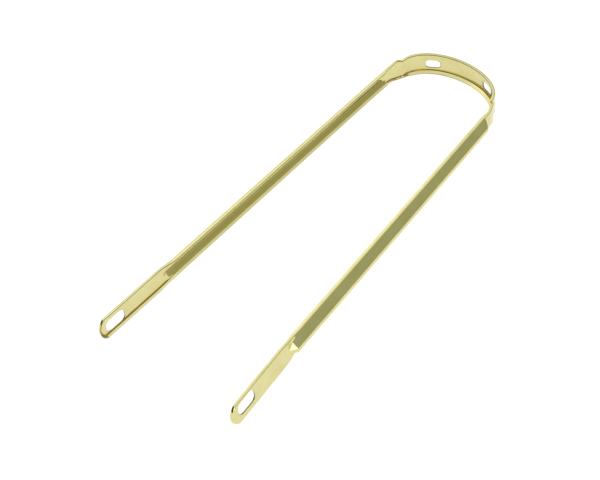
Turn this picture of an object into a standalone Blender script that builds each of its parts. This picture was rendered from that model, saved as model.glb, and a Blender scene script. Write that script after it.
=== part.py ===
"""Fender brace for a 20 inch cruiser bicycle, pressed from one strip of gold-plated steel.

The strip is bent into a long U.  The arch crosses the fender and is fastened to it through
two slots.  The legs run from the arch to the wheel; each is pressed into a ridge that points
outward, which stiffens it, and ends in a flat tab whose slot goes over the wheel axle.  Both
long edges of the strip are folded inward as a lip, and the lip runs on round each tab's end.

Frame: metres, +Z up.  The brace lies on its edge.  X spans the legs, Y runs from the tips of
the tabs to the crown of the arch, Z is the width of the strip.  The origin is the bottom
centre of the bounding box.
"""
from math import atan2, cos, pi, radians, sin, tan

import bmesh
import bpy
from mathutils import Matrix, Vector

MM = 0.001

# Whole brace, in millimetres.
OVERALL = 284.2          # tab tip to crown
SHEET = 0.8              # thickness of the strip
BEND = 1.5               # outer radius where a lip is folded
BEND_STEPS = 3
UPPER_FOLD = radians(90.0)         # the upper lip is folded square
LOWER_FOLD = radians(66.0)         # the lower lip stops short of square
LEG_LOWER_FOLD = radians(50.0)     # the same on the legs, counted from the tab's plane
LOWER_CUT = 0.6          # so much nearer the middle is the lower fold, as its lip reaches down
LEG_LOWER_CUT = 0.75

# Outer face of the right-hand half, as (distance from the tips, distance from the middle).
TIP = (0.0, 49.4)
NECK = (52.0, 46.4)
LEG_END = (255.3, 38.37)
HINGE = (263.6, 34.7)
ARCH_BASE = 263.0        # distance of the arch's widest place from the tips
ARCH_HALF = 34.3
ARCH_RISE = OVERALL - ARCH_BASE

# Tab.
TAB_HALF = 8.15          # half the width of the strip
TAB_LIPS = (1.7, 2.2)    # upper and lower
TAB_LEAN = 0.045         # the upper edge leans in by this share of its height
TAB_DROP = 1.12          # the tip sits this much below the line of the leg
LEAN_SPAN = (44.0, 62.0)           # the lean fades out over this stretch
FLOOR = 9.37             # depth of the lowest edge below the line of the leg
END_RADIUS = 10.0        # rounded end
END_STEPS = 6
TAB_SLOT = (12.0, 13.7, 9.8, 3.6)  # centre from the tip, length, width, corner radius
TAB_SLOT_RISE = 1.7      # the right slot is punched above the middle, the left one below it

# Ridge of the leg: a narrow flat crest between two sloping plates.
CREST_HALF = 1.32
RIDGE_OUT = 3.6          # how far the crest stands outside the plane of the tab
PLATE_NEAR = 7.2
PLATE_FAR = 6.55
PLATE_LEAN = radians(41.5)
LEG_LIPS = (2.65, 1.9)
RIDGE_START = (49.8, 53.9)
RIDGE_STOP = (247.6, 253.2)
EDGE_START = (43.0, 61.0)
EDGE_STOP = (238.0, 255.3)

# Flat between ridge and arch, the hinge where the strip turns, and the arch band.
FLAT_START_HALF = 6.4
FLAT_HALF = 7.9
FLAT_LIPS = (1.8, 1.9)
FLAT_BOW = 0.9           # the flat bulges outward by this much, most of the way to the hinge
FLAT_BOW_SHARE = 0.68
HINGE_HALF = 7.3
ARCH_BAND_HALF = 7.6
ARCH_LIPS = (2.4, 3.1)
ARCH_STEPS = 16
ARCH_SLOT = (21.5, 9.4, 6.0, 2.2)  # centre from the crown along the band, then as above
ARCH_SLOT_RISE = -1.4

GOLD = (0.80, 0.66, 0.30, 1.0)


def clear_scene():
    for thing in list(bpy.data.objects):
        bpy.data.objects.remove(thing, do_unlink=True)


def collection(name):
    group = bpy.data.collections.new(name)
    bpy.context.scene.collection.children.link(group)
    return group


def gold_plate():
    material = bpy.data.materials.new("gold_plated_steel")
    material.use_nodes = True
    shader = material.node_tree.nodes["Principled BSDF"]
    shader.inputs["Base Color"].default_value = GOLD
    shader.inputs["Metallic"].default_value = 1.0
    shader.inputs["Roughness"].default_value = 0.28
    return material


def between(value, span):
    """0 before the span, 1 after it, straight in between."""
    return min(max((value - span[0]) / (span[1] - span[0]), 0.0), 1.0)


def ease(value, span):
    share = between(value, span)
    return share * share * (3.0 - 2.0 * share)


def mix(first, second, share):
    return [a + (b - a) * share for a, b in zip(first, second)]


def plain_edge(half_height, upper_lip, lower_lip):
    """Folded edge: depth, half-height, two lips, lean of the face, lower fold and lower cut."""
    return [0.0, half_height, upper_lip, lower_lip, 0.0, LOWER_FOLD, LOWER_CUT]


def tab_edge(half_height):
    """Edge of the tab; round its end the lower fold becomes square, like the upper one."""
    share = (half_height / TAB_HALF) ** 3
    fold = UPPER_FOLD + (LOWER_FOLD - UPPER_FOLD) * share
    return [0.0, half_height, TAB_LIPS[0], TAB_LIPS[1], 0.0, fold, LOWER_CUT * share]


def edge_of_leg(distance):
    """Folded edge of the leg at a distance from the tips."""
    length = PLATE_NEAR + (PLATE_FAR - PLATE_NEAR) * between(distance, (RIDGE_START[1], RIDGE_STOP[0]))
    ridge = [
        length * sin(PLATE_LEAN) - RIDGE_OUT,
        CREST_HALF + length * cos(PLATE_LEAN),
        LEG_LIPS[0],
        LEG_LIPS[1],
        PLATE_LEAN,
        LEG_LOWER_FOLD - PLATE_LEAN,
        LEG_LOWER_CUT,
    ]
    if distance < EDGE_START[1]:
        return mix(tab_edge(TAB_HALF), ridge, ease(distance, EDGE_START))
    return mix(ridge, plain_edge(FLAT_START_HALF, *FLAT_LIPS), ease(distance, EDGE_STOP))


def crest_of_leg(distance):
    """Depth of the crest: negative is outside the plane of the tab."""
    if distance < RIDGE_START[1]:
        return -RIDGE_OUT * between(distance, RIDGE_START)
    return -RIDGE_OUT * (1.0 - between(distance, RIDGE_STOP))


def side_of_section(origin, along, inward, crest, edge, end_turn, lower):
    """Half of one cross-section of the outer face, from the crest to the lip's free edge."""
    edge_depth, edge_height, upper_lip, lower_lip, lean, lower_fold, lower_cut = edge
    lip, fold, cut = (lower_lip, lower_fold, lower_cut) if lower else (upper_lip, UPPER_FOLD, 0.0)
    up = Vector((0.0, 0.0, 1.0))
    plate_way = (up * cos(lean) + inward * sin(lean)) * cos(end_turn) - along * sin(end_turn)
    lip_way = inward * cos(lean) - up * sin(lean)
    lip_run = lip_way * sin(fold) + plate_way * cos(fold)
    corner = origin + inward * (edge_depth - cut * tan(lean)) + up * (edge_height - cut)
    centre = corner - plate_way * (BEND * tan(0.5 * fold)) + lip_way * BEND
    points = [origin + inward * crest[0] + along * crest[2] + up * crest[1]]
    for step in range(BEND_STEPS + 1):
        turn = fold * step / BEND_STEPS
        points.append(centre - lip_way * (BEND * cos(turn)) + plate_way * (BEND * sin(turn)))
    points.append(corner + lip_run * lip)
    if lower:
        return [Vector((point.x, point.y, -point.z)) for point in points]
    return points


def section(origin, along, inward, crest, edge, end_turn=0.0):
    """A whole cross-section, lower free edge first."""
    upper = side_of_section(origin, along, inward, crest, edge, end_turn, False)
    lower = side_of_section(origin, along, inward, crest, edge, end_turn, True)
    return lower[::-1] + upper


def frame_between(start, end):
    along = Vector((end[1] - start[1], end[0] - start[0], 0.0)).normalized()
    return along, Vector((-along.y, along.x, 0.0))


def on_line(start, end, distance):
    share = (distance - start[0]) / (end[0] - start[0])
    return Vector((start[1] + (end[1] - start[1]) * share, distance, 0.0))


def tab_end_sections():
    """Sections of the rounded end; the chords shorten towards the tip."""
    along, inward = frame_between(TIP, NECK)
    last = 0.5 * pi - atan2((END_RADIUS ** 2 - TAB_HALF ** 2) ** 0.5, TAB_HALF)
    sections = []
    for step in range(1, END_STEPS + 1):
        angle = last * step / END_STEPS
        origin = on_line(TIP, NECK, END_RADIUS * (1.0 - cos(angle)))
        inner = (END_RADIUS - BEND) * sin(angle)
        crest = (0.0, CREST_HALF * min(1.0, inner / (TAB_HALF - BEND)), BEND * cos(angle))
        edge = tab_edge(END_RADIUS * sin(angle))
        sections.append(section(origin, along, inward, crest, edge, 0.5 * pi - angle))
    return sections


def tip_column():
    """The one column of points at the very tip, from the face to the lip's free edge."""
    along, inward = frame_between(TIP, NECK)
    origin = on_line(TIP, NECK, 0.0)
    edge = [0.0, 0.0, 0.5 * sum(TAB_LIPS), 0.0, 0.0, UPPER_FOLD, 0.0]
    return side_of_section(origin, along, inward, (0.0, 0.0, 0.0), edge, 0.5 * pi, False)[1:]


def leg_sections():
    stops = [9.0, 20.0, 34.0, 43.0, 46.5, 49.8, 53.9, 57.5, 61.0, 80.0, 110.0, 140.0, 170.0, 200.0]
    stops += [224.0, 238.0, 243.5, 247.6, 250.4, 253.2, 255.3]
    sections = []
    for distance in stops:
        start, end = (TIP, NECK) if distance < NECK[0] else (NECK, LEG_END)
        along, inward = frame_between(start, end)
        origin = on_line(start, end, distance)
        crest = (crest_of_leg(distance), CREST_HALF, 0.0)
        sections.append(section(origin, along, inward, crest, edge_of_leg(distance)))
    return sections


def arch_point(angle):
    return (ARCH_BASE + ARCH_RISE * sin(angle), ARCH_HALF * cos(angle))


def flat_sections():
    """The bowed flat past the ridge, and the hinge where the strip turns into the arch."""
    along, inward = frame_between(LEG_END, HINGE)
    crest = (0.0, CREST_HALF, 0.0)
    bulge = LEG_END[0] + (HINGE[0] - LEG_END[0]) * FLAT_BOW_SHARE
    middle = on_line(LEG_END, HINGE, bulge) - inward * FLAT_BOW
    turn = on_line(LEG_END, HINGE, HINGE[0])
    return [
        section(middle, along, inward, crest, plain_edge(FLAT_HALF, *FLAT_LIPS)),
        section(turn, along, inward, crest, plain_edge(HINGE_HALF, *FLAT_LIPS)),
    ]


def arch_sections():
    sections = []
    hinge = plain_edge(HINGE_HALF, *FLAT_LIPS)
    band = plain_edge(ARCH_BAND_HALF, *ARCH_LIPS)
    for step in range(2, ARCH_STEPS + 1):
        angle = 0.5 * pi * step / ARCH_STEPS
        here = arch_point(angle)
        along, inward = frame_between(arch_point(angle - 0.01), arch_point(min(angle + 0.01, pi - angle)))
        if step == ARCH_STEPS:
            along, inward = Vector((-1.0, 0.0, 0.0)), Vector((0.0, -1.0, 0.0))
        edge = mix(hinge, band, ease(step, (0.0, 3.0)))
        origin = Vector((here[1], here[0], 0.0))
        sections.append(section(origin, along, inward, (0.0, CREST_HALF, 0.0), edge))
    return sections


def placed(point):
    """From millimetres behind the tips to the brace's own frame in metres."""
    return Vector((point.x * MM, (point.y - 0.5 * OVERALL) * MM, (point.z + FLOOR) * MM))


def drop(distance):
    return TAB_DROP * (1.0 - between(distance, (0.0, NECK[0])))


def add_vertex(mesh, point):
    lean = TAB_LEAN * (1.0 - ease(point.y, LEAN_SPAN))
    moved = Vector((point.x - lean * point.z, point.y, point.z - drop(point.y)))
    return mesh.verts.new(placed(moved))


def join_rows(mesh, near, far):
    """Faces between two rows; the plates are split so that each crease runs to the crest."""
    middle = len(near) // 2
    for index in range(len(near) - 1):
        a, b, c, d = near[index], near[index + 1], far[index + 1], far[index]
        if index == middle:
            mesh.faces.new((a, c, b))
            mesh.faces.new((a, d, c))
        elif index == middle - 2:
            mesh.faces.new((b, a, d))
            mesh.faces.new((b, d, c))
        else:
            mesh.faces.new((a, d, c, b))


def half_strip():
    """Outer face of the right-hand half, from the tab's tip to the crown."""
    mesh = bmesh.new()
    tip = [add_vertex(mesh, point) for point in tip_column()]
    sections = tab_end_sections() + leg_sections() + flat_sections() + arch_sections()
    rows = [[add_vertex(mesh, point) for point in points] for points in sections]
    for vertex in rows[-1]:
        vertex.co.x = 0.0
    for near, far in zip(rows, rows[1:]):
        join_rows(mesh, near, far)
    first = rows[0]
    count = len(tip)
    for index in range(count - 1):
        mesh.faces.new((tip[index], tip[index + 1], first[count - 2 - index], first[count - 1 - index]))
        top = len(first) - count + index
        mesh.faces.new((tip[index], first[top], first[top + 1], tip[index + 1]))
    for index in range(count - 1, len(first) - count):
        mesh.faces.new((tip[0], first[index], first[index + 1]))
    bmesh.ops.recalc_face_normals(mesh, faces=mesh.faces)
    data = bpy.data.meshes.new("fender_brace")
    mesh.to_mesh(data)
    mesh.free()
    return data


def slot_cutter(name, group, size, centre, across, depth=16.0):
    """A prism with rounded corners that cuts a slot; across is the way it passes through."""
    length, width, corner = size
    mesh = bmesh.new()
    ring = []
    for quarter, (x, y) in enumerate(((1, 1), (-1, 1), (-1, -1), (1, -1))):
        for step in range(6):
            turn = 0.5 * pi * (quarter + step / 5.0)
            centre_x, centre_y = x * (0.5 * length - corner), y * (0.5 * width - corner)
            ring.append((centre_x + corner * cos(turn), centre_y + corner * sin(turn)))
    base = [mesh.verts.new((x * MM, y * MM, -0.5 * depth * MM)) for x, y in ring]
    face = mesh.faces.new(base)
    raised = bmesh.ops.extrude_face_region(mesh, geom=[face])
    top = [item for item in raised["geom"] if isinstance(item, bmesh.types.BMVert)]
    bmesh.ops.translate(mesh, verts=top, vec=(0.0, 0.0, depth * MM))
    bmesh.ops.recalc_face_normals(mesh, faces=mesh.faces)
    data = bpy.data.meshes.new(name)
    mesh.to_mesh(data)
    mesh.free()
    cutter = bpy.data.objects.new(name, data)
    along = Vector((-across.y, across.x, 0.0))
    cutter.matrix_world = frame_matrix(centre, along, Vector((0.0, 0.0, 1.0)), across)
    cutter.hide_render = True
    cutter.display_type = 'WIRE'
    group.objects.link(cutter)
    return cutter


def frame_matrix(centre, first, second, third):
    matrix = Matrix((first, second, third)).transposed().to_4x4()
    matrix.translation = placed(centre)
    return matrix


def arch_slot_place():
    """Point and outward direction on the arch at the slot's distance from the crown."""
    angle, travelled = 0.5 * pi, 0.0
    here = arch_point(angle)
    while travelled < ARCH_SLOT[0]:
        angle -= 0.002
        ahead = arch_point(angle)
        travelled += ((ahead[0] - here[0]) ** 2 + (ahead[1] - here[1]) ** 2) ** 0.5
        here = ahead
    along, inward = frame_between(arch_point(angle - 0.01), arch_point(angle + 0.01))
    return Vector((here[1], here[0], 0.0)), -inward


def cutters(group):
    made = []
    along, inward = frame_between(TIP, NECK)
    tab = on_line(TIP, NECK, TAB_SLOT[0])
    arch, arch_out = arch_slot_place()
    for side, name in ((1.0, "right"), (-1.0, "left")):
        spot = Vector((tab.x * side, tab.y, TAB_SLOT_RISE * side - drop(tab.y)))
        out = Vector((-inward.x * side, -inward.y, 0.0))
        made.append(slot_cutter("tab_slot_" + name, group, TAB_SLOT[1:], spot, out))
        spot = Vector((arch.x * side, arch.y, ARCH_SLOT_RISE))
        out = Vector((arch_out.x * side, arch_out.y, 0.0))
        made.append(slot_cutter("arch_slot_" + name, group, ARCH_SLOT[1:], spot, out))
    return made


def build():
    clear_scene()
    parts = collection("fender_brace_assembly")
    tools = collection("cutters")
    brace = bpy.data.objects.new("fender_brace", half_strip())
    parts.objects.link(brace)
    brace.data.materials.append(gold_plate())
    mirror = brace.modifiers.new("other_half", 'MIRROR')
    mirror.use_axis = (True, False, False)
    mirror.merge_threshold = 0.00001
    sheet = brace.modifiers.new("sheet", 'SOLIDIFY')
    sheet.thickness = SHEET * MM
    sheet.offset = -1.0
    sheet.use_even_offset = True
    for cutter in cutters(tools):
        cut = brace.modifiers.new(cutter.name, 'BOOLEAN')
        cut.operation = 'DIFFERENCE'
        cut.solver = 'EXACT'
        cut.object = cutter
    for polygon in brace.data.polygons:
        polygon.use_smooth = True


build()
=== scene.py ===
"""Visual model of a gold-plated bicycle fender brace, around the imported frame.

The CAD node is replaced by one finely meshed strip with the same main dimensions: rounded
folds, a ridge along each leg with its pressed end faces, a narrow bend on each side of the
arch, and slots with softened rims.  The bend is called the hinge here, but it doesn't move.
Lengths are in millimetres until placed() turns them into metres, apart from those of the
studio.  Strip coordinates are x across the brace, y from the tips, z from the legs' middle line.
"""
from itertools import accumulate
from math import asin, atan, cos, hypot, pi, radians, sin, sqrt, tan

import bmesh
import bpy
from mathutils import Matrix, Vector


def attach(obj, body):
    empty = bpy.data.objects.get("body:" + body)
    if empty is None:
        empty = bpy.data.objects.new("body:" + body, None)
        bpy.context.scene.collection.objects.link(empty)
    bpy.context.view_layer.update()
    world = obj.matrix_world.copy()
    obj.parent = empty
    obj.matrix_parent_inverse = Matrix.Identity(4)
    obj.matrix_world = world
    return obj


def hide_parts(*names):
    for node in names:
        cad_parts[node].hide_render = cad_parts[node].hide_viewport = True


MM = 0.001

# Whole brace.
OVERALL = 284.2          # tab tip to crown
SHEET = 0.8              # thickness of the strip
BEND = 1.0               # radius of the folds on the outer face
INNER_BEND = 0.75        # and on the inner face
BEND_STEPS = 6
UPPER_FOLD = radians(90.0)       # the upper lip is level
LOWER_FOLD = radians(66.0)       # the lower lip stops short of a square fold
LOWER_CUT = 0.64         # the lower fold is this much nearer the middle, as its lip reaches down
LEG_LOWER_FOLD = radians(50.0)   # the legs' lower lip, turned this far from the tab's plane
LEG_LOWER_CUT = 0.75

# Outer face of the right-hand half: (distance from the tips, distance from the middle).
TIP = (0.0, 49.4)
NECK = (52.0, 46.4)
LEG_END = (255.3, 38.37)
BULGE = (261.5, 36.7)
HINGE = (264.0, 34.5)
ARCH_BASE = 263.0
ARCH_HALF = 34.3
ARCH_RISE = OVERALL - ARCH_BASE

# Tab.
TAB_HALF = 8.13          # half the width of the strip
TAB_LIPS = (1.7, 2.2)    # upper and lower
TAB_LEAN = 0.045         # the upper edge leans in by this share of its height
TAB_DROP = 1.12          # the tip sits this much below the line of the leg
LEAN_SPAN = (44.0, 62.0)           # the lean fades out over this stretch
FLOOR = 9.37             # depth of the lowest edge below the line of the leg
END_RADIUS = 10.0        # rounded end
CORNER_RADIUS = 1.6      # between the rounded end and the straight edges
END_STEPS = 14
CORNER_STEPS = 8
TAB_SLOT = (12.0, 13.7, 9.8, 3.6)  # centre from the tip, length, width, corner radius
TAB_SLOT_RISE = 1.7      # the right slot is punched above the middle, the left one below it

# Ridge of the leg: a narrow flat crest between two sloping plates.
CREST_HALF = 1.32
RIDGE_OUT = 3.6          # how far the crest stands outside the plane of the tab
PLATE_NEAR = 7.2         # width of a plate at the tab and at the arch
PLATE_FAR = 6.55
PLATE_LEAN = radians(41.5)
LEG_LIPS = (1.7, 1.8)
RIDGE_START = (49.8, 53.9)         # the crest rises over this stretch
RIDGE_STOP = (247.6, 253.2)        # and falls over this one
START_SPREAD = 0.9       # the near end face starts this much further on per unit of height
STOP_ROUND = 0.12        # the far one ends this much sooner per unit of height squared
PLATE_START = (50.0, 60.0)         # the plates begin to slope
PLATE_STOP = (247.5, 254.0)        # and level out again
LIP_START = (43.0, 61.0)           # lips and width change from the tab's to the ridge's
LIP_STOP = (240.0, 255.3)          # and on to the flat's
LEG_STRETCHES = (        # where the stations are, as start, stop and step
    (5.4, 42.0, 2.0),
    (42.0, 48.5, 0.8),
    (48.5, 58.0, 0.3),
    (58.0, 64.0, 0.8),
    (64.0, 238.0, 4.0),
    (238.0, 249.0, 0.8),
    (249.0, 255.3, 0.3),
)
END_FACE_TILT = 1.2      # thickness of the end faces square to the tab's plane, per sheet
CREASE = 0.35            # softness of the pressed creases
INNER_CREASE = 2.2       # and of those inside the ridge
PLATE_STEPS = 15

# Flat, hinge and arch.
FLAT_START_HALF = 6.4
FLAT_HALF = 7.9
FLAT_LIPS = (1.8, 1.9)
HINGE_HALF = 7.3
HINGE_COUNTS = (7, 6, 5)           # stations from leg to bulge, on to the hinge and on to the arch
FLAT_SKIP = 2            # the first ones are left out, because the leg's last station is there
GUIDE = (250.0, 4.6)     # first guide of the curve: its distance, and its run back along the leg
TURN_SHARE = 0.05        # share of a stretch over which the curve's direction is taken
ARCH_BAND_HALF = 7.6
ARCH_LIPS = (2.1, 3.1)
ARCH_STEPS = 44
ARCH_CROWDING = 1.3      # power by which the stations crowd towards the hinge
ARCH_FIRST = 0.09        # angle at which the arch begins
ARCH_GUIDE = 0.2         # angle that guides the curve into it
LIP_GROWN = (0.02, 0.5)  # angles over which the lips grow
BAND_GROWN = (0.04, 0.24)          # and over which the width grows
TANGENT = 0.005          # half the angle over which the arch's direction is taken
ARCH_WALK = 0.002        # step of angle in which the way round the arch is measured
ARCH_SLOT = (21.5, 9.4, 6.0, 2.2)  # centre from the crown along the band, then as above
ARCH_SLOT_RISE = -1.4
SLOT_DEPTH = 12.0        # length of the cutters
SLOT_CORNER_STEPS = 12

# Studio: brightness of walls and ceiling by the sine of the height above the horizon.
WALLS = (
    (0.0, (0.40, 0.42, 0.34)),
    (0.38, (0.46, 0.485, 0.395)),
    (0.55, (0.76, 0.79, 0.78)),
    (0.75, (1.04, 1.05, 1.04)),
    (1.0, (1.08, 1.08, 1.08)),
)
FRONT_WALL = (0.05, 0.05, 0.045)
FRONT = (-0.45, 0.1)     # Y of the directions between which the dark front wall ends
CEILING = (0.5, 0.75)    # sines of the heights between which it gives way to the ceiling
SOFTBOXES = (            # place, aim, size and radiance, in metres
    ("left_back", (-1.9, 0.9, 1.75), (0.0, 0.2, 0.0), (2.4, 2.2), 0.3),
    ("right_front", (1.6, -1.35, 0.52), (0.0, 0.0, 0.05), (1.0, 0.8), 2.6),
)
FLOOR_HALF = 12.0
FLOOR_GLOW = 0.87        # light that the floor gives by itself
FLOOR_GREYS = (          # stops of its mottle
    (0.0, (0.24, 0.24, 0.24)),
    (1.0, (0.26, 0.26, 0.26)),
)

# Plating: its golds, and how far painted shade takes them in the ridge and the folds, and to what, also
# on the cut edges.
GOLDS = (                # stops of its stains
    (0.30, (0.665, 0.605, 0.268)),
    (0.72, (0.735, 0.680, 0.330)),
)
# painted shade inside the ridge's channel: how strongly its tone is mixed into the gold
CHANNEL_SHADE = 0.6
BARE_POINTS = 13         # inside the ridge, so many points next to the middle keep the plain gold, without painted shade
# painted shade in the inner bends of the folds: how strongly its tone is mixed into the gold
FOLD_SHADE = 1.0
# tone of the painted shade inside the ridge
RIDGE_SHADE_TONE = (0.60, 0.45, 0.09)
# tone of the painted shade in the folds
FOLD_SHADE_TONE = (0.33, 0.23, 0.03)
# tone of the painted shade on the cut edges
CUT_EDGE_SHADE_TONE = (0.22, 0.20, 0.08)
LINE_SCALE = (60.0, 4200.0, 1.0)   # rolling lines: long along the strip, fine across it
LINE_SPAN = (0.35, 0.7)  # strengths of the lines between which the roughness rises
ROUGHNESS = (0.13, 0.24)
LINE_BUMP = 0.12
LINE_DEPTH = 0.00002     # metres
STAIN_SCALE = 95.0
MOTTLE_SCALE = 6.0
RIM_ROUND = 0.16         # width of the softened rims
RIM_ANGLE = radians(50.0)
WELD = 0.000002          # points closer than this, in metres, become one

# Camera.
AZIMUTH = radians(44.93)
ELEVATION = radians(49.42)
ROLL = radians(-8.10)
DISTANCE = 727.7
LENS = 76.18
SENSOR = 36.0
CLIP = (0.01, 60.0)
TARGET = (1.94, 114.38, 0.0)

UP = Vector((0.0, 0.0, 1.0))


def between(value, span):
    """0 before the span, 1 after it, straight in between."""
    return min(max((value - span[0]) / (span[1] - span[0]), 0.0), 1.0)


def ease(value, span):
    share = between(value, span)
    return share * share * (3.0 - 2.0 * share)


def mix(first, second, share):
    return first + (second - first) * share


def greater(first, second):
    """The greater of two values, with the change-over rounded."""
    gap = abs(first - second)
    rounded = 0.5 * (first + second + sqrt(gap ** 2 + CREASE ** 2))
    return rounded - 0.5 * CREASE ** 2 / (CREASE + gap)


def lesser(first, second):
    return -greater(-first, -second)


def drop(distance):
    return TAB_DROP * (1.0 - between(distance, (0.0, NECK[0])))


def warped(point):
    """Adds the lean and the drop of the tabs."""
    lean = TAB_LEAN * (1.0 - ease(point.y, LEAN_SPAN))
    return Vector((point.x - lean * point.z, point.y, point.z - drop(point.y)))


def placed(point):
    """From strip coordinates in millimetres to the frame in metres."""
    return Vector((point.x * MM, (point.y - 0.5 * OVERALL) * MM, (point.z + FLOOR) * MM))


# ---------------------------------------------------------------- cross-sections


def ridge_depth(height, offset):
    """Depth of the ridge's crest and plates; offset 0 is the outer face, SHEET the inner."""
    past = height - (CREST_HALF - offset * tan(0.5 * PLATE_LEAN))
    crease = CREASE if offset == 0.0 else INNER_CREASE
    softened = 0.5 * (past + sqrt(past * past + crease ** 2))
    return offset - RIDGE_OUT + softened * tan(PLATE_LEAN)


def end_face_depth(height, distance, offset):
    """Depth of the sloping faces that close the ridge at its two ends."""
    travel = distance - START_SPREAD * max(height - CREST_HALF, 0.0)
    near = RIDGE_OUT * between(travel, RIDGE_START)
    rounding = STOP_ROUND * height * height
    far = RIDGE_OUT * between(-distance - rounding, (-RIDGE_STOP[1], -RIDGE_STOP[0]))
    return offset * END_FACE_TILT - min(near, far)


def plate_share(distance):
    return ease(distance, PLATE_START) * (1.0 - ease(distance, PLATE_STOP))


def leg_depth(height, distance, offset):
    """Depth of the leg's face: tab plane, ridge, end faces and plates together."""
    ridge = ridge_depth(height, offset)
    outside = lesser(ridge, offset)
    closed = greater(outside, lesser(end_face_depth(height, distance, offset), offset))
    return closed + plate_share(distance) * (ridge - outside)


def flat_depth(height, distance, offset):
    """The same as leg_depth() where there is no ridge."""
    return offset


def heights(top):
    """Heights at which a face is sampled: close together at the crest's edge."""
    stops = [0.0, 0.33 * CREST_HALF, 0.66 * CREST_HALF]
    stops += [CREST_HALF + CREASE * step for step in (-0.8, -0.4, 0.0, 0.4, 0.8, 1.3)]
    start = stops[-1]
    stops += [mix(start, top, step / PLATE_STEPS) for step in range(1, PLATE_STEPS + 1)]
    return stops


def squeezed(top):
    """As many heights as heights() gives, evenly spread over the short chord of a tab's end."""
    count = len(heights(1.0))
    return [top * step / (count - 1) for step in range(count)]


def face_points(station, offset, face_end):
    """Points of the face itself, from its middle to where the fold begins."""
    origin, along, inward = station["origin"], station["along"], station["inward"]
    base = origin + along * (face_end - origin).dot(along)
    stops = heights(max(face_end.z, 0.0)) if station["full"] else squeezed(face_end.z)
    return [base + UP * height + inward * station["depth"](height, origin.y, offset) for height in stops]


def half_section(station, offset, lower):
    """Points of one half of a cross-section, from the middle of the face to the free edge."""
    lean, turn = station["lean"], station["turn"]
    inward = station["inward"]
    lip = station["lips"][1 if lower else 0]
    fold = station["lower_fold"] if lower else UPPER_FOLD - lean
    cut = station["lower_cut"] if lower else 0.0
    edge_way = UP * cos(turn) - station["along"] * sin(turn)
    plate_way = edge_way * cos(lean) + inward * sin(lean)
    lip_way = inward * cos(lean) - edge_way * sin(lean)
    corner_depth = station["edge_depth"] - cut * tan(lean)
    corner = station["origin"] + inward * corner_depth + UP * (station["half"] - cut)
    lip_run = lip_way * sin(fold) + plate_way * cos(fold)
    lip_normal = plate_way * sin(fold) - lip_way * cos(fold)
    radius = BEND if offset == 0.0 else INNER_BEND
    centre = corner + (lip_way - plate_way * tan(0.5 * fold)) * (offset + radius)
    points = face_points(station, offset, centre - lip_way * radius)
    for step in range(1, BEND_STEPS + 1):
        angle = fold * step / BEND_STEPS
        points.append(centre - lip_way * (radius * cos(angle)) + plate_way * (radius * sin(angle)))
    points.append(corner + lip_run * lip - lip_normal * offset)
    if lower:
        return [Vector((point.x, point.y, -point.z)) for point in points]
    return points


def half_shades(station, offset):
    """Shares of painted shade inside the ridge and in the folds, at each point of half_section()."""
    plain = (0.0, 0.0)
    inside = 1.0 if offset > 0.0 else 0.0
    share = plate_share(station["origin"].y)
    # painted shade only on the inner face: inside the ridge's plates, and in the folds where there is no
    # ridge
    channel = (inside * CHANNEL_SHADE * share, 0.0)
    fold = (0.0, inside * FOLD_SHADE * (1.0 - share))
    shaded = len(heights(1.0)) - 1 - BARE_POINTS
    return [plain] * BARE_POINTS + [channel] * shaded + [fold] * BEND_STEPS + [plain] * 2


def ring(station):
    """The closed cross-section: outer face from lower to upper edge, then back along the inner face."""
    outer_low = half_section(station, 0.0, True)
    outer_high = half_section(station, 0.0, False)
    inner_low = half_section(station, SHEET, True)
    inner_high = half_section(station, SHEET, False)
    return outer_low[:0:-1] + outer_high + inner_high[::-1] + inner_low[1:]


def ring_shades(station):
    """The shares of half_shades(), in the order of ring()."""
    outside, inside = half_shades(station, 0.0), half_shades(station, SHEET)
    return outside[:0:-1] + outside + inside[::-1] + inside[1:]


def directions(start, end):
    """Unit vectors along the strip and inward, from two (distance, half-width) points."""
    along = Vector((end[1] - start[1], end[0] - start[0], 0.0)).normalized()
    return along, Vector((-along.y, along.x, 0.0))


def on_line(start, end, distance):
    share = (distance - start[0]) / (end[0] - start[0])
    return Vector((start[1] + (end[1] - start[1]) * share, distance, 0.0))


def station(origin, ways, half, lips, lean=0.0, edge_depth=0.0, turn=0.0, depth=flat_depth, full=True,
            lower_fold=LOWER_FOLD, lower_cut=LOWER_CUT):
    """What the cross-section at one place along the strip needs to know."""
    return {
        "origin": origin,
        "along": ways[0],
        "inward": ways[1],
        "half": half,
        "lips": lips,
        "lean": lean,
        "edge_depth": edge_depth,
        "turn": turn,
        "depth": depth,
        "full": full,
        "lower_fold": lower_fold,
        "lower_cut": lower_cut,
    }


# ---------------------------------------------------------------- stations along the strip


def tab_end_stations():
    """The rounded end: a wide arc, then a small corner arc up to the straight edge."""
    ways = directions(TIP, NECK)
    inset = END_RADIUS - CORNER_RADIUS
    meet = asin((TAB_HALF - CORNER_RADIUS) / inset)
    turns = [meet * step / END_STEPS for step in range(END_STEPS + 1)]
    turns += [mix(meet, 0.5 * pi, step / CORNER_STEPS) for step in range(1, CORNER_STEPS + 1)]
    middle_lip = 0.5 * sum(TAB_LIPS)
    stations = []
    for turn in turns:
        wide = turn <= meet
        radius = END_RADIUS if wide else CORNER_RADIUS
        centre_height = 0.0 if wide else inset * sin(meet)
        centre_distance = END_RADIUS if wide else END_RADIUS - inset * cos(meet)
        origin = on_line(TIP, NECK, centre_distance - radius * cos(turn))
        half = centre_height + radius * sin(turn)
        share = ease(turn, (0.0, meet))
        lips = [mix(middle_lip, lip, share) for lip in TAB_LIPS]
        fold, cut = mix(UPPER_FOLD, LOWER_FOLD, share), LOWER_CUT * share
        stations.append(station(origin, ways, half, lips, turn=0.5 * pi - turn, full=False,
                                lower_fold=fold, lower_cut=cut))
    return stations


def spaced(start, stop, step):
    """Evenly spaced values from start up to stop, without stop, about a step apart."""
    count = max(1, round((stop - start) / step))
    return [start + (stop - start) * index / count for index in range(count)]


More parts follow.
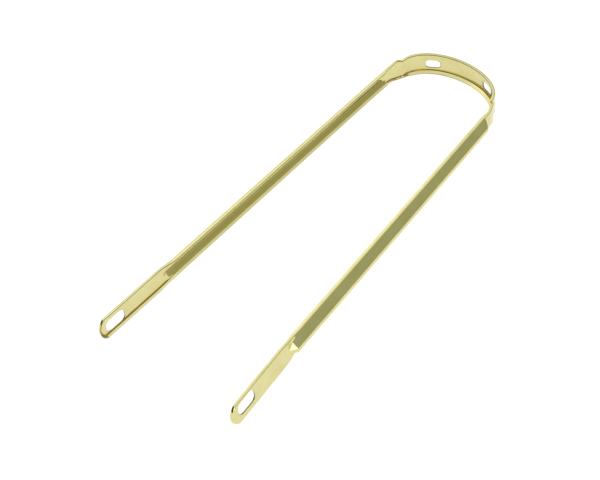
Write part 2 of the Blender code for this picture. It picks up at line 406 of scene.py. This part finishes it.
def leg_edge(distance):
    """Half the leg's width and its two lips at a distance from the tips."""
    length = mix(PLATE_NEAR, PLATE_FAR, between(distance, (RIDGE_START[1], RIDGE_STOP[0])))
    ridge_half = CREST_HALF + length * cos(PLATE_LEAN)
    near, far = ease(distance, LIP_START), ease(distance, LIP_STOP)
    half = mix(mix(TAB_HALF, ridge_half, near), FLAT_START_HALF, far)
    lips = [mix(mix(tab, leg, near), flat, far) for tab, leg, flat in zip(TAB_LIPS, LEG_LIPS, FLAT_LIPS)]
    return half, lips


def leg_stations():
    """Tab and leg up to the flat, with stations close together where the ridge begins and ends."""
    stations = []
    for distance in (stop for stretch in LEG_STRETCHES for stop in spaced(*stretch)):
        start, end = (TIP, NECK) if distance < NECK[0] else (NECK, LEG_END)
        share = plate_share(distance)
        half, lips = leg_edge(distance)
        lean = atan(share * tan(PLATE_LEAN))
        edge_depth = share * ((half - CREST_HALF) * tan(PLATE_LEAN) - RIDGE_OUT)
        fold = mix(LOWER_FOLD, LEG_LOWER_FOLD, share) - lean
        cut = mix(LOWER_CUT, LEG_LOWER_CUT, share)
        stations.append(station(on_line(start, end, distance), directions(start, end), half, lips, lean,
                                edge_depth, depth=leg_depth, lower_fold=fold, lower_cut=cut))
    return stations


def arch_point(angle):
    return (ARCH_BASE + ARCH_RISE * sin(angle), ARCH_HALF * cos(angle))


def arch_edge(angle):
    """Half the band's width and its two lips at an angle round the arch."""
    half = mix(HINGE_HALF, ARCH_BAND_HALF, ease(angle, BAND_GROWN))
    return half, [mix(flat, lip, ease(angle, LIP_GROWN)) for flat, lip in zip(FLAT_LIPS, ARCH_LIPS)]


def through(points, index, share):
    """A point on the smooth curve through a list of points, after points[index]."""
    result = []
    for before, first, second, after in zip(*points[index - 1:index + 3]):
        slope = second - before
        bow = 2.0 * before - 5.0 * first + 4.0 * second - after
        twist = 3.0 * first - before - 3.0 * second + after
        result.append(0.5 * (2.0 * first + slope * share + bow * share ** 2 + twist * share ** 3))
    return tuple(result)


def curve_directions(points, index, share):
    behind = through(points, index, max(share - TURN_SHARE, 0.0))
    ahead = through(points, index, share + TURN_SHARE)
    return directions(behind, ahead)


def hinge_stations():
    """From the end of the ridge over the bulging flat and the hinge to the start of the arch."""
    leg_slope = (NECK[1] - LEG_END[1]) / (LEG_END[0] - NECK[0])
    guide = (GUIDE[0], LEG_END[1] + GUIDE[1] * leg_slope)
    points = [guide, LEG_END, BULGE, HINGE, arch_point(ARCH_FIRST), arch_point(ARCH_GUIDE)]
    arch_half, arch_lips = arch_edge(ARCH_FIRST)
    halves = [FLAT_START_HALF, FLAT_HALF, HINGE_HALF, arch_half]
    lips = [FLAT_LIPS] * 3 + [arch_lips]
    stations = []
    for index, count in enumerate(HINGE_COUNTS, start=1):
        for step in range(FLAT_SKIP if index == 1 else 0, count):
            share = step / count
            here = through(points, index, share)
            smooth = ease(share, (0.0, 1.0))
            half = mix(halves[index - 1], halves[index], smooth)
            pair = [mix(first, second, smooth) for first, second in zip(lips[index - 1], lips[index])]
            ways = curve_directions(points, index, share)
            stations.append(station(Vector((here[1], here[0], 0.0)), ways, half, pair))
    return stations


def arch_stations():
    """From the hinge to the crown, where the strip runs straight across."""
    stations = []
    for step in range(ARCH_STEPS + 1):
        angle = mix(ARCH_FIRST, 0.5 * pi, (step / ARCH_STEPS) ** ARCH_CROWDING)
        here = arch_point(angle)
        ways = directions(arch_point(angle - TANGENT), arch_point(min(angle + TANGENT, pi - angle)))
        if step == ARCH_STEPS:
            ways = (Vector((-1.0, 0.0, 0.0)), Vector((0.0, -1.0, 0.0)))
        half, lips = arch_edge(angle)
        stations.append(station(Vector((here[1], here[0], 0.0)), ways, half, lips))
    return stations


# ---------------------------------------------------------------- mesh


def finished(mesh, name):
    """Turns the working mesh into mesh data."""
    data = bpy.data.meshes.new(name)
    mesh.to_mesh(data)
    mesh.free()
    return data


def strip_rings():
    """Points and painted-shade shares of every cross-section, from the right tip round to the left."""
    stations = tab_end_stations() + leg_stations() + hinge_stations() + arch_stations()
    right = [[warped(point) for point in ring(place)] for place in stations]
    left = [[Vector((-point.x, point.y, point.z)) for point in points] for points in right[-2::-1]]
    shades = [ring_shades(place) for place in stations]
    return right + left, shades + shades[-2::-1]


def strip_spans(rings):
    """Running lengths along the strip and across it, for the texture coordinates."""
    quarter = len(rings[0]) // 4
    sample = rings[len(rings) // 8]
    along = [(first[quarter] - second[quarter]).length for first, second in zip(rings, rings[1:])]
    across = [(first - second).length for first, second in zip(sample, sample[1:] + sample[:1])]
    return list(accumulate(along, initial=0.0)), list(accumulate(across, initial=0.0))


def strip_mesh():
    """The closed strip: a ring of vertices per station, and four-sided faces between them."""
    rings, shades = strip_rings()
    lengths, widths = strip_spans(rings)
    mesh = bmesh.new()
    layer = mesh.loops.layers.uv.new("strip")
    # per-corner shares of painted shade: inside the ridge, in the folds, on the cut edges
    painted_shade = mesh.loops.layers.float_color.new("painted_shade")
    grid = [[mesh.verts.new(placed(point)) for point in points] for points in rings]
    count = len(rings[0])
    for row in range(len(grid) - 1):
        for column in range(count):
            following = (column + 1) % count
            corners = ((row, column), (row + 1, column), (row + 1, following), (row, following))
            face = mesh.faces.new([grid[i][j] for i, j in corners])
            face.smooth = True
            # the two free edges, the faces between the outer and the inner half ring, get the painted
            # shade of the cut edges
            edge_shade = 1.0 if following % (count // 2) == 0 else 0.0
            sides = (column, column, column + 1, column + 1)
            for loop, (i, j), side in zip(face.loops, corners, sides):
                loop[layer].uv = (lengths[i] * MM, widths[side] * MM)
                loop[painted_shade] = (*shades[i][j], edge_shade, 1.0)
    bmesh.ops.remove_doubles(mesh, verts=mesh.verts, dist=WELD)
    bmesh.ops.dissolve_degenerate(mesh, edges=mesh.edges, dist=WELD)
    bmesh.ops.recalc_face_normals(mesh, faces=mesh.faces)
    return finished(mesh, "brace_strip")


def rounded_outline(length, width, corner):
    """A rectangle with rounded corners, as points."""
    outline = []
    for quarter, (x, y) in enumerate(((1, 1), (-1, 1), (-1, -1), (1, -1))):
        centre_x, centre_y = x * (0.5 * length - corner), y * (0.5 * width - corner)
        for step in range(SLOT_CORNER_STEPS + 1):
            turn = 0.5 * pi * (quarter + step / SLOT_CORNER_STEPS)
            outline.append((centre_x + corner * cos(turn), centre_y + corner * sin(turn)))
    return outline


def slot_cutter(size, centre, out):
    """A prism with rounded corners; out is the direction in which it passes through the sheet."""
    mesh = bmesh.new()
    base = [mesh.verts.new((x * MM, y * MM, -0.5 * SLOT_DEPTH * MM)) for x, y in rounded_outline(*size)]
    raised = bmesh.ops.extrude_face_region(mesh, geom=[mesh.faces.new(base)])
    top = [item for item in raised["geom"] if isinstance(item, bmesh.types.BMVert)]
    bmesh.ops.translate(mesh, verts=top, vec=(0.0, 0.0, SLOT_DEPTH * MM))
    bmesh.ops.recalc_face_normals(mesh, faces=mesh.faces)
    for face in mesh.faces:
        face.smooth = True
    cutter = bpy.data.objects.new("slot_cutter", finished(mesh, "slot_cutter"))
    matrix = Matrix((Vector((-out.y, out.x, 0.0)), UP, out)).transposed().to_4x4()
    matrix.translation = placed(centre)
    cutter.matrix_world = matrix
    bpy.context.scene.collection.objects.link(cutter)
    return cutter


def arch_slot_place():
    """Point and outward direction on the arch at the slot's distance from the crown."""
    angle, travelled = 0.5 * pi, 0.0
    here = arch_point(angle)
    while travelled < ARCH_SLOT[0]:
        angle -= ARCH_WALK
        ahead = arch_point(angle)
        travelled += hypot(ahead[0] - here[0], ahead[1] - here[1])
        here = ahead
    inward = directions(arch_point(angle - 2.0 * TANGENT), arch_point(angle + 2.0 * TANGENT))[1]
    return Vector((here[1], here[0], 0.0)), -inward


def slot_cutters():
    """The axle slots and the fender slots, right and left."""
    made = []
    inward = directions(TIP, NECK)[1]
    tab = on_line(TIP, NECK, TAB_SLOT[0])
    arch, arch_out = arch_slot_place()
    for side in (1.0, -1.0):
        spot = Vector((tab.x * side, tab.y, TAB_SLOT_RISE * side - drop(tab.y)))
        made.append(slot_cutter(TAB_SLOT[1:], spot, Vector((-inward.x * side, -inward.y, 0.0))))
        spot = Vector((arch.x * side, arch.y, ARCH_SLOT_RISE))
        made.append(slot_cutter(ARCH_SLOT[1:], spot, Vector((arch_out.x * side, arch_out.y, 0.0))))
    return made


def soften_rims(piece):
    rim = piece.modifiers.new("rims", 'BEVEL')
    rim.limit_method = 'ANGLE'
    rim.angle_limit = RIM_ANGLE
    rim.width = RIM_ROUND * MM
    rim.segments = 2
    rim.use_clamp_overlap = False
    rim.harden_normals = True


def brace_piece():
    """The finished strip, with its slots cut and its rims softened."""
    piece = bpy.data.objects.new("fender_brace_strip", strip_mesh())
    bpy.context.scene.collection.objects.link(piece)
    cutters = slot_cutters()
    for cutter in cutters:
        cut = piece.modifiers.new("slot", 'BOOLEAN')
        cut.operation = 'DIFFERENCE'
        cut.solver = 'EXACT'
        cut.object = cutter
    soften_rims(piece)
    bpy.context.view_layer.update()
    graph = bpy.context.evaluated_depsgraph_get()
    complete = bpy.data.meshes.new_from_object(piece.evaluated_get(graph))
    piece.modifiers.clear()
    piece.data = complete
    for cutter in cutters:
        bpy.data.objects.remove(cutter)
    return piece


# ---------------------------------------------------------------- materials


def blank_material(name):
    material = bpy.data.materials.new(name)
    material.use_nodes = True
    return material, material.node_tree, material.node_tree.nodes["Principled BSDF"]


def noise(tree, coordinates, scale, detail):
    """The strength of a noise texture."""
    texture = tree.nodes.new("ShaderNodeTexNoise")
    texture.inputs["Scale"].default_value = scale
    texture.inputs["Detail"].default_value = detail
    tree.links.new(coordinates, texture.inputs["Vector"])
    return texture.outputs["Fac"]


def object_place(tree):
    return tree.nodes.new("ShaderNodeTexCoord").outputs["Object"]


def colour_ramp(tree, source, stops):
    """A colour that follows the source through a list of (position, colour) stops."""
    node = tree.nodes.new("ShaderNodeValToRGB")
    ramp = node.color_ramp
    for element, (position, colour) in zip(ramp.elements, (stops[0], stops[-1])):
        element.position = position
        element.color = (*colour, 1.0)
    for position, colour in stops[1:-1]:
        ramp.elements.new(position).color = (*colour, 1.0)
    tree.links.new(source, node.inputs["Fac"])
    return node.outputs["Color"]


def remap(tree, source, span, result=(0.0, 1.0), kind='LINEAR'):
    """The source, moved from one span of values to another."""
    node = tree.nodes.new("ShaderNodeMapRange")
    node.interpolation_type = kind
    node.inputs["From Min"].default_value, node.inputs["From Max"].default_value = span
    node.inputs["To Min"].default_value, node.inputs["To Max"].default_value = result
    tree.links.new(source, node.inputs["Value"])
    return node.outputs["Result"]


def colour_mix(tree, share):
    """A node that mixes the colours in its sockets A and B by the share."""
    node = tree.nodes.new("ShaderNodeMix")
    node.data_type = 'RGBA'
    tree.links.new(share, node.inputs["Factor"])
    return node


def rolling_lines(tree):
    """Fine lines that run along the strip."""
    place = tree.nodes.new("ShaderNodeUVMap")
    place.uv_map = "strip"
    stretch = tree.nodes.new("ShaderNodeMapping")
    stretch.inputs["Scale"].default_value = LINE_SCALE
    tree.links.new(place.outputs["UV"], stretch.inputs["Vector"])
    return noise(tree, stretch.outputs["Vector"], 1.0, 4.0)


def with_painted_shade(tree, colour):
    """Darkens the colour with painted shade inside the ridge, in the folds and on the cut edges."""
    layer = tree.nodes.new("ShaderNodeVertexColor")
    layer.layer_name = "painted_shade"
    shares = tree.nodes.new("ShaderNodeSeparateColor")
    tree.links.new(layer.outputs["Color"], shares.inputs["Color"])
    for channel, tone in (("Red", RIDGE_SHADE_TONE), ("Green", FOLD_SHADE_TONE), ("Blue", CUT_EDGE_SHADE_TONE)):
        deep = colour_mix(tree, shares.outputs[channel])
        deep.inputs["B"].default_value = (*tone, 1.0)
        tree.links.new(colour, deep.inputs["A"])
        colour = deep.outputs["Result"]
    return colour


def gold_plate():
    """Bright gold plating over rolled steel: fine lines along the strip and faint stains."""
    material, tree, shader = blank_material("gold_plating")
    shader.inputs["Metallic"].default_value = 1.0
    stains = noise(tree, object_place(tree), STAIN_SCALE, 3.0)
    gold = colour_ramp(tree, stains, GOLDS)
    # painted shade on the gold inside the ridge, in the folds and on the cut edges
    tree.links.new(with_painted_shade(tree, gold), shader.inputs["Base Color"])
    lines = rolling_lines(tree)
    tree.links.new(remap(tree, lines, LINE_SPAN, ROUGHNESS), shader.inputs["Roughness"])
    bump = tree.nodes.new("ShaderNodeBump")
    bump.inputs["Strength"].default_value = LINE_BUMP
    bump.inputs["Distance"].default_value = LINE_DEPTH
    tree.links.new(lines, bump.inputs["Height"])
    tree.links.new(bump.outputs["Normal"], shader.inputs["Normal"])
    return material


def paper_white():
    """The plain pale floor: white enough to reach the page's white, with a very faint mottle."""
    material, tree, shader = blank_material("pale_floor")
    shader.inputs["Roughness"].default_value = 0.9
    shader.inputs["Specular IOR Level"].default_value = 0.1
    shader.inputs["Emission Color"].default_value = (1.0, 1.0, 1.0, 1.0)
    shader.inputs["Emission Strength"].default_value = FLOOR_GLOW
    mottle = noise(tree, object_place(tree), MOTTLE_SCALE, 2.0)
    tree.links.new(colour_ramp(tree, mottle, FLOOR_GREYS), shader.inputs["Base Color"])
    return material


# ---------------------------------------------------------------- floor, light and camera


def floor():
    mesh = bmesh.new()
    bmesh.ops.create_grid(mesh, x_segments=2, y_segments=2, size=FLOOR_HALF)
    data = finished(mesh, "floor")
    data.materials.append(paper_white())
    surface = bpy.data.objects.new("floor", data)
    bpy.context.scene.collection.objects.link(surface)


def softbox(name, position, aim, size, radiance):
    """An area light of the given radiance, turned towards aim."""
    lamp = bpy.data.lights.new(name, 'AREA')
    lamp.shape = 'RECTANGLE'
    lamp.size, lamp.size_y = size
    lamp.energy = radiance * pi * size[0] * size[1]
    light = bpy.data.objects.new(name, lamp)
    light.location = position
    light.rotation_euler = (Vector(aim) - Vector(position)).to_track_quat('-Z', 'Y').to_euler()
    bpy.context.scene.collection.objects.link(light)


def studio():
    """A bright ceiling, duller walls and a dark front, with a large softbox and a small one."""
    world = bpy.data.worlds.new("studio")
    world.use_nodes = True
    tree = world.node_tree
    place = tree.nodes.new("ShaderNodeTexCoord")
    way = tree.nodes.new("ShaderNodeSeparateXYZ")
    tree.links.new(place.outputs["Generated"], way.inputs["Vector"])
    lit = tree.nodes.new("ShaderNodeMath")
    lit.operation = 'MAXIMUM'
    tree.links.new(remap(tree, way.outputs["Y"], FRONT, kind='SMOOTHSTEP'), lit.inputs[0])
    tree.links.new(remap(tree, way.outputs["Z"], CEILING, kind='SMOOTHSTEP'), lit.inputs[1])
    room = colour_mix(tree, lit.outputs[0])
    room.inputs["A"].default_value = (*FRONT_WALL, 1.0)
    tree.links.new(colour_ramp(tree, way.outputs["Z"], WALLS), room.inputs["B"])
    tree.links.new(room.outputs["Result"], tree.nodes["Background"].inputs["Color"])
    bpy.context.scene.world = world
    for box in SOFTBOXES:
        softbox(*box)


def photo_camera():
    """The camera on the photograph's line of sight, turned by its small roll."""
    back = Vector((sin(AZIMUTH) * cos(ELEVATION), -cos(AZIMUTH) * cos(ELEVATION), sin(ELEVATION)))
    level = Vector((cos(AZIMUTH), sin(AZIMUTH), 0.0))
    upward = back.cross(level)
    right = level * cos(ROLL) + upward * sin(ROLL)
    top = upward * cos(ROLL) - level * sin(ROLL)
    matrix = Matrix((right, top, back)).transposed().to_4x4()
    matrix.translation = placed(Vector(TARGET) + back * DISTANCE)
    data = bpy.data.cameras.new("camera")
    data.lens = LENS
    data.sensor_width = SENSOR
    data.clip_start, data.clip_end = CLIP
    camera = bpy.data.objects.new("camera", data)
    camera.matrix_world = matrix
    bpy.context.scene.collection.objects.link(camera)
    bpy.context.scene.camera = camera


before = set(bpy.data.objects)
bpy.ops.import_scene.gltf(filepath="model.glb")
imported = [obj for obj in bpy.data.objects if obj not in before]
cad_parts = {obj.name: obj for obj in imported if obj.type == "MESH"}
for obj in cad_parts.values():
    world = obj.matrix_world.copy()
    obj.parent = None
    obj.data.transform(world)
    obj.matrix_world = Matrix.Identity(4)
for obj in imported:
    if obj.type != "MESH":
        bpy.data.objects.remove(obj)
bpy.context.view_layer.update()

bpy.context.scene.view_settings.view_transform = 'Standard'
photo_camera()
studio()
floor()

brace = brace_piece()
brace.data.materials.clear()
brace.data.materials.append(gold_plate())
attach(brace, "root")
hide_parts("fender_brace")
